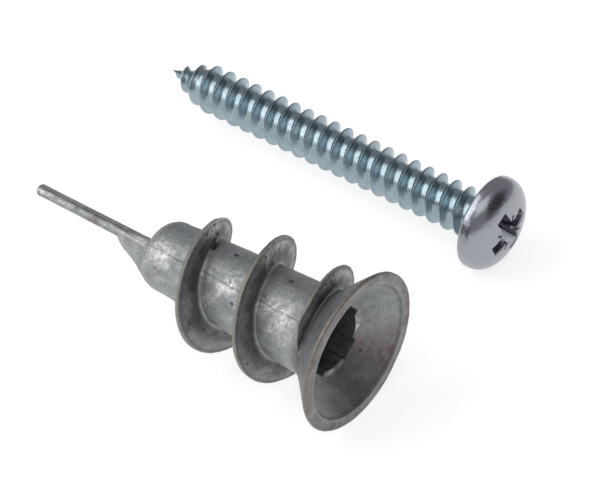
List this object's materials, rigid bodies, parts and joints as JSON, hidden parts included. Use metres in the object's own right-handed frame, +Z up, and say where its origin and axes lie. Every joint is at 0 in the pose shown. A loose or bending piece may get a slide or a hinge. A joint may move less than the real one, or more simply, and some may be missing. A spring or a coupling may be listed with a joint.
{
  "type": "drywall anchor",
  "caption": "Self-drilling plasterboard anchor die cast in zinc, with a coarse outer flight, a flared flange with a cross recess, and a pan-head tapping screw lying beside it.",
  "frame": {"origin": "centre of the flange's front face, which is the plane of the board's surface once the anchor is driven", "axes": "+X along the anchor's axis and out of the flange, towards the installer; +Z up; the loose screw lies parallel to X on the +Y side"},
  "size_m": [0.0366, 0.0326, 0.0136],
  "materials": {
    "zinc_casting": "as-cast zinc alloy, fine grain, faint parting seam",
    "plated_steel": "bright blue-white zinc plating on steel"
  },
  "bodies": {
    "anchor": {"anchor_body": "zinc_casting"},
    "screw": {"screw": "plated_steel"}
  },
  "joints": [
    {"name": "screw_slide", "type": "slide", "parent": "anchor", "child": "screw", "axis": [0.9461, -0.3215, 0.0399], "range_m": [0, 0.06765]}
  ]
}
